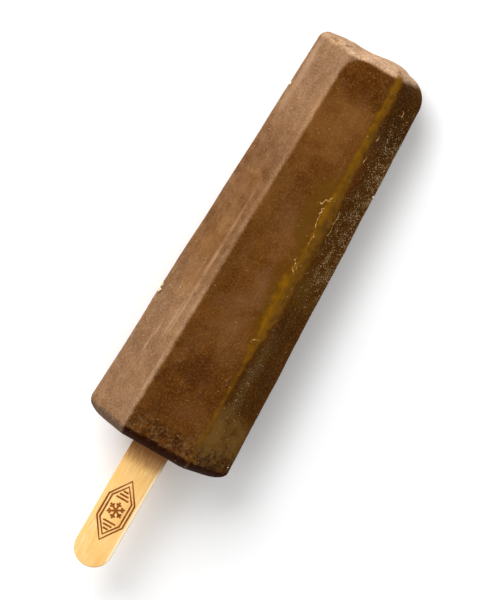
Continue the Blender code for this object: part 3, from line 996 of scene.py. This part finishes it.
class FROZENBAR_OT_stick(bpy.types.Operator):
    """Make the flat birch stick and the mark burned into it"""
    bl_idname = "frozenbar.stick"
    bl_label = "Birch Stick"

    def execute(self, context):
        sizes, colours = context.scene.frozen_bar_sizes, context.scene.frozen_bar_colours
        stick = new_object("birch_stick", stick_mesh(sizes))
        stick.data.materials.append(birch_material(sizes, colours))
        finish_piece(stick, "stick")
        # Hot stamped birch: scorched brown, matt
        scorched = speckled_material("Birch, hot stamped", colours.burn, colours.burn_dark, 0.8 * MM, 0.6)
        mark = path_curve("burned_mark", mark_lines(sizes))
        finish_piece(made_by(mark, mark_tree(scorched), line_width=sizes.line_width))
        return {"FINISHED"}


# Stage -----------------------------------------------------------------------------------------

CAMERA_TILT = math.radians(11.0)  # from straight above, towards the tip
CAMERA_LEAN = math.radians(3.5)  # and towards the left
CAMERA_ROLL = math.radians(29.67)
CAMERA_DISTANCE = 1.03
CAMERA_AIM = Vector((2.66, 40.4, 0.0)) * MM
FRAME_HEIGHT = 148.2 * MM
ROOM_LIGHT = 0.66
FLOOR_DROP = 0.05 * MM  # keeps the floor off the plane of the back face


class FROZENBAR_OT_stage(bpy.types.Operator):
    """Set the pale floor, the soft lamps and the camera"""
    bl_idname = "frozenbar.stage"
    bl_label = "Stage"

    def execute(self, context):
        scene = context.scene
        scene.view_settings.view_transform = "Standard"
        self.make_floor()
        self.make_lamp("key_lamp", (-0.66, 0.56, 0.60), 0.80, 13.6)
        self.make_lamp("tip_lamp", (0.10, 0.95, 0.25), 0.40, 0.9)
        world = bpy.data.worlds.new("soft_room")
        world.use_nodes = True
        world.node_tree.nodes["Background"].inputs["Color"].default_value = (1.0, 1.0, 1.0, 1.0)
        world.node_tree.nodes["Background"].inputs["Strength"].default_value = ROOM_LIGHT
        scene.world = world
        self.make_camera(scene)
        return {"FINISHED"}

    def make_floor(self):
        shape = bmesh.new()
        bmesh.ops.create_grid(shape, x_segments=1, y_segments=1, size=1.5)
        mesh = bpy.data.meshes.new("floor")
        shape.to_mesh(mesh)
        shape.free()
        mesh.transform(Matrix.Translation((0.0, 0.0, -FLOOR_DROP)))
        # Backdrop paper: uncoated, matt, evenly white
        material, tree, shader = new_material("Backdrop paper, uncoated")
        fibre = clouds(tree, add_node(tree, "ShaderNodeTexCoord", take="Object"), 40.0 * MM)
        shade = laid_over(tree, linear("#fafafa"), linear("#fdfdfd"), fibre)
        tree.links.new(shade, shader.inputs["Base Color"])
        shader.inputs["Roughness"].default_value = 0.9
        mesh.materials.append(material)
        new_object("floor", mesh)

    def make_lamp(self, name, place, size, power):
        lamp = bpy.data.lights.new(name, "AREA")
        lamp.size = size
        lamp.energy = power
        made = new_object(name, lamp)
        made.location = place
        made.rotation_euler = Vector(place).to_track_quat("Z", "Y").to_euler()

    def make_camera(self, scene):
        camera = bpy.data.cameras.new("camera")
        camera.sensor_fit = "VERTICAL"
        camera.sensor_height = 36.0
        camera.lens = 36.0 * CAMERA_DISTANCE / FRAME_HEIGHT
        camera.clip_end = 10.0
        toward = Vector((-math.sin(CAMERA_LEAN), math.sin(CAMERA_TILT), 0.0))
        toward.z = math.sqrt(1.0 - toward.length_squared)
        up = Vector((-math.sin(CAMERA_ROLL), math.cos(CAMERA_ROLL), 0.0))
        right = up.cross(toward).normalized()
        up = toward.cross(right)
        made = new_object("camera", camera)
        aim = laid_down(scene.frozen_bar_sizes) @ CAMERA_AIM
        made.matrix_world = Matrix.Translation(aim + toward * CAMERA_DISTANCE) @ Matrix(
            (right, up, toward)).transposed().to_4x4()
        scene.camera = made


class FROZENBAR_PT_panel(bpy.types.Panel):
    """Sizes, colours and pieces of the frozen bar"""
    bl_label = "Frozen Bar"
    bl_space_type = "VIEW_3D"
    bl_region_type = "UI"
    bl_category = "Frozen Bar"

    def draw(self, context):
        for values in (context.scene.frozen_bar_sizes, context.scene.frozen_bar_colours):
            column = self.layout.column()
            for name in values.bl_rna.properties.keys():
                if name not in ("rna_type", "name"):
                    column.prop(values, name)
        for operator in OPERATORS:
            self.layout.operator(operator.bl_idname)


OPERATORS = (FROZENBAR_OT_gelato, FROZENBAR_OT_frost, FROZENBAR_OT_stick, FROZENBAR_OT_stage)
CLASSES = (FrozenBarSizes, FrozenBarColours, *OPERATORS, FROZENBAR_PT_panel)


def register():
    for made in CLASSES:
        bpy.utils.register_class(made)
    bpy.types.Scene.frozen_bar_sizes = bpy.props.PointerProperty(type=FrozenBarSizes)
    bpy.types.Scene.frozen_bar_colours = bpy.props.PointerProperty(type=FrozenBarColours)


def unregister():
    del bpy.types.Scene.frozen_bar_colours
    del bpy.types.Scene.frozen_bar_sizes
    for made in reversed(CLASSES):
        bpy.utils.unregister_class(made)


def main():
    register()
    bpy.ops.frozenbar.gelato()
    bpy.ops.frozenbar.frost()
    bpy.ops.frozenbar.stick()
    bpy.ops.frozenbar.stage()


if __name__ == "__main__":
    main()
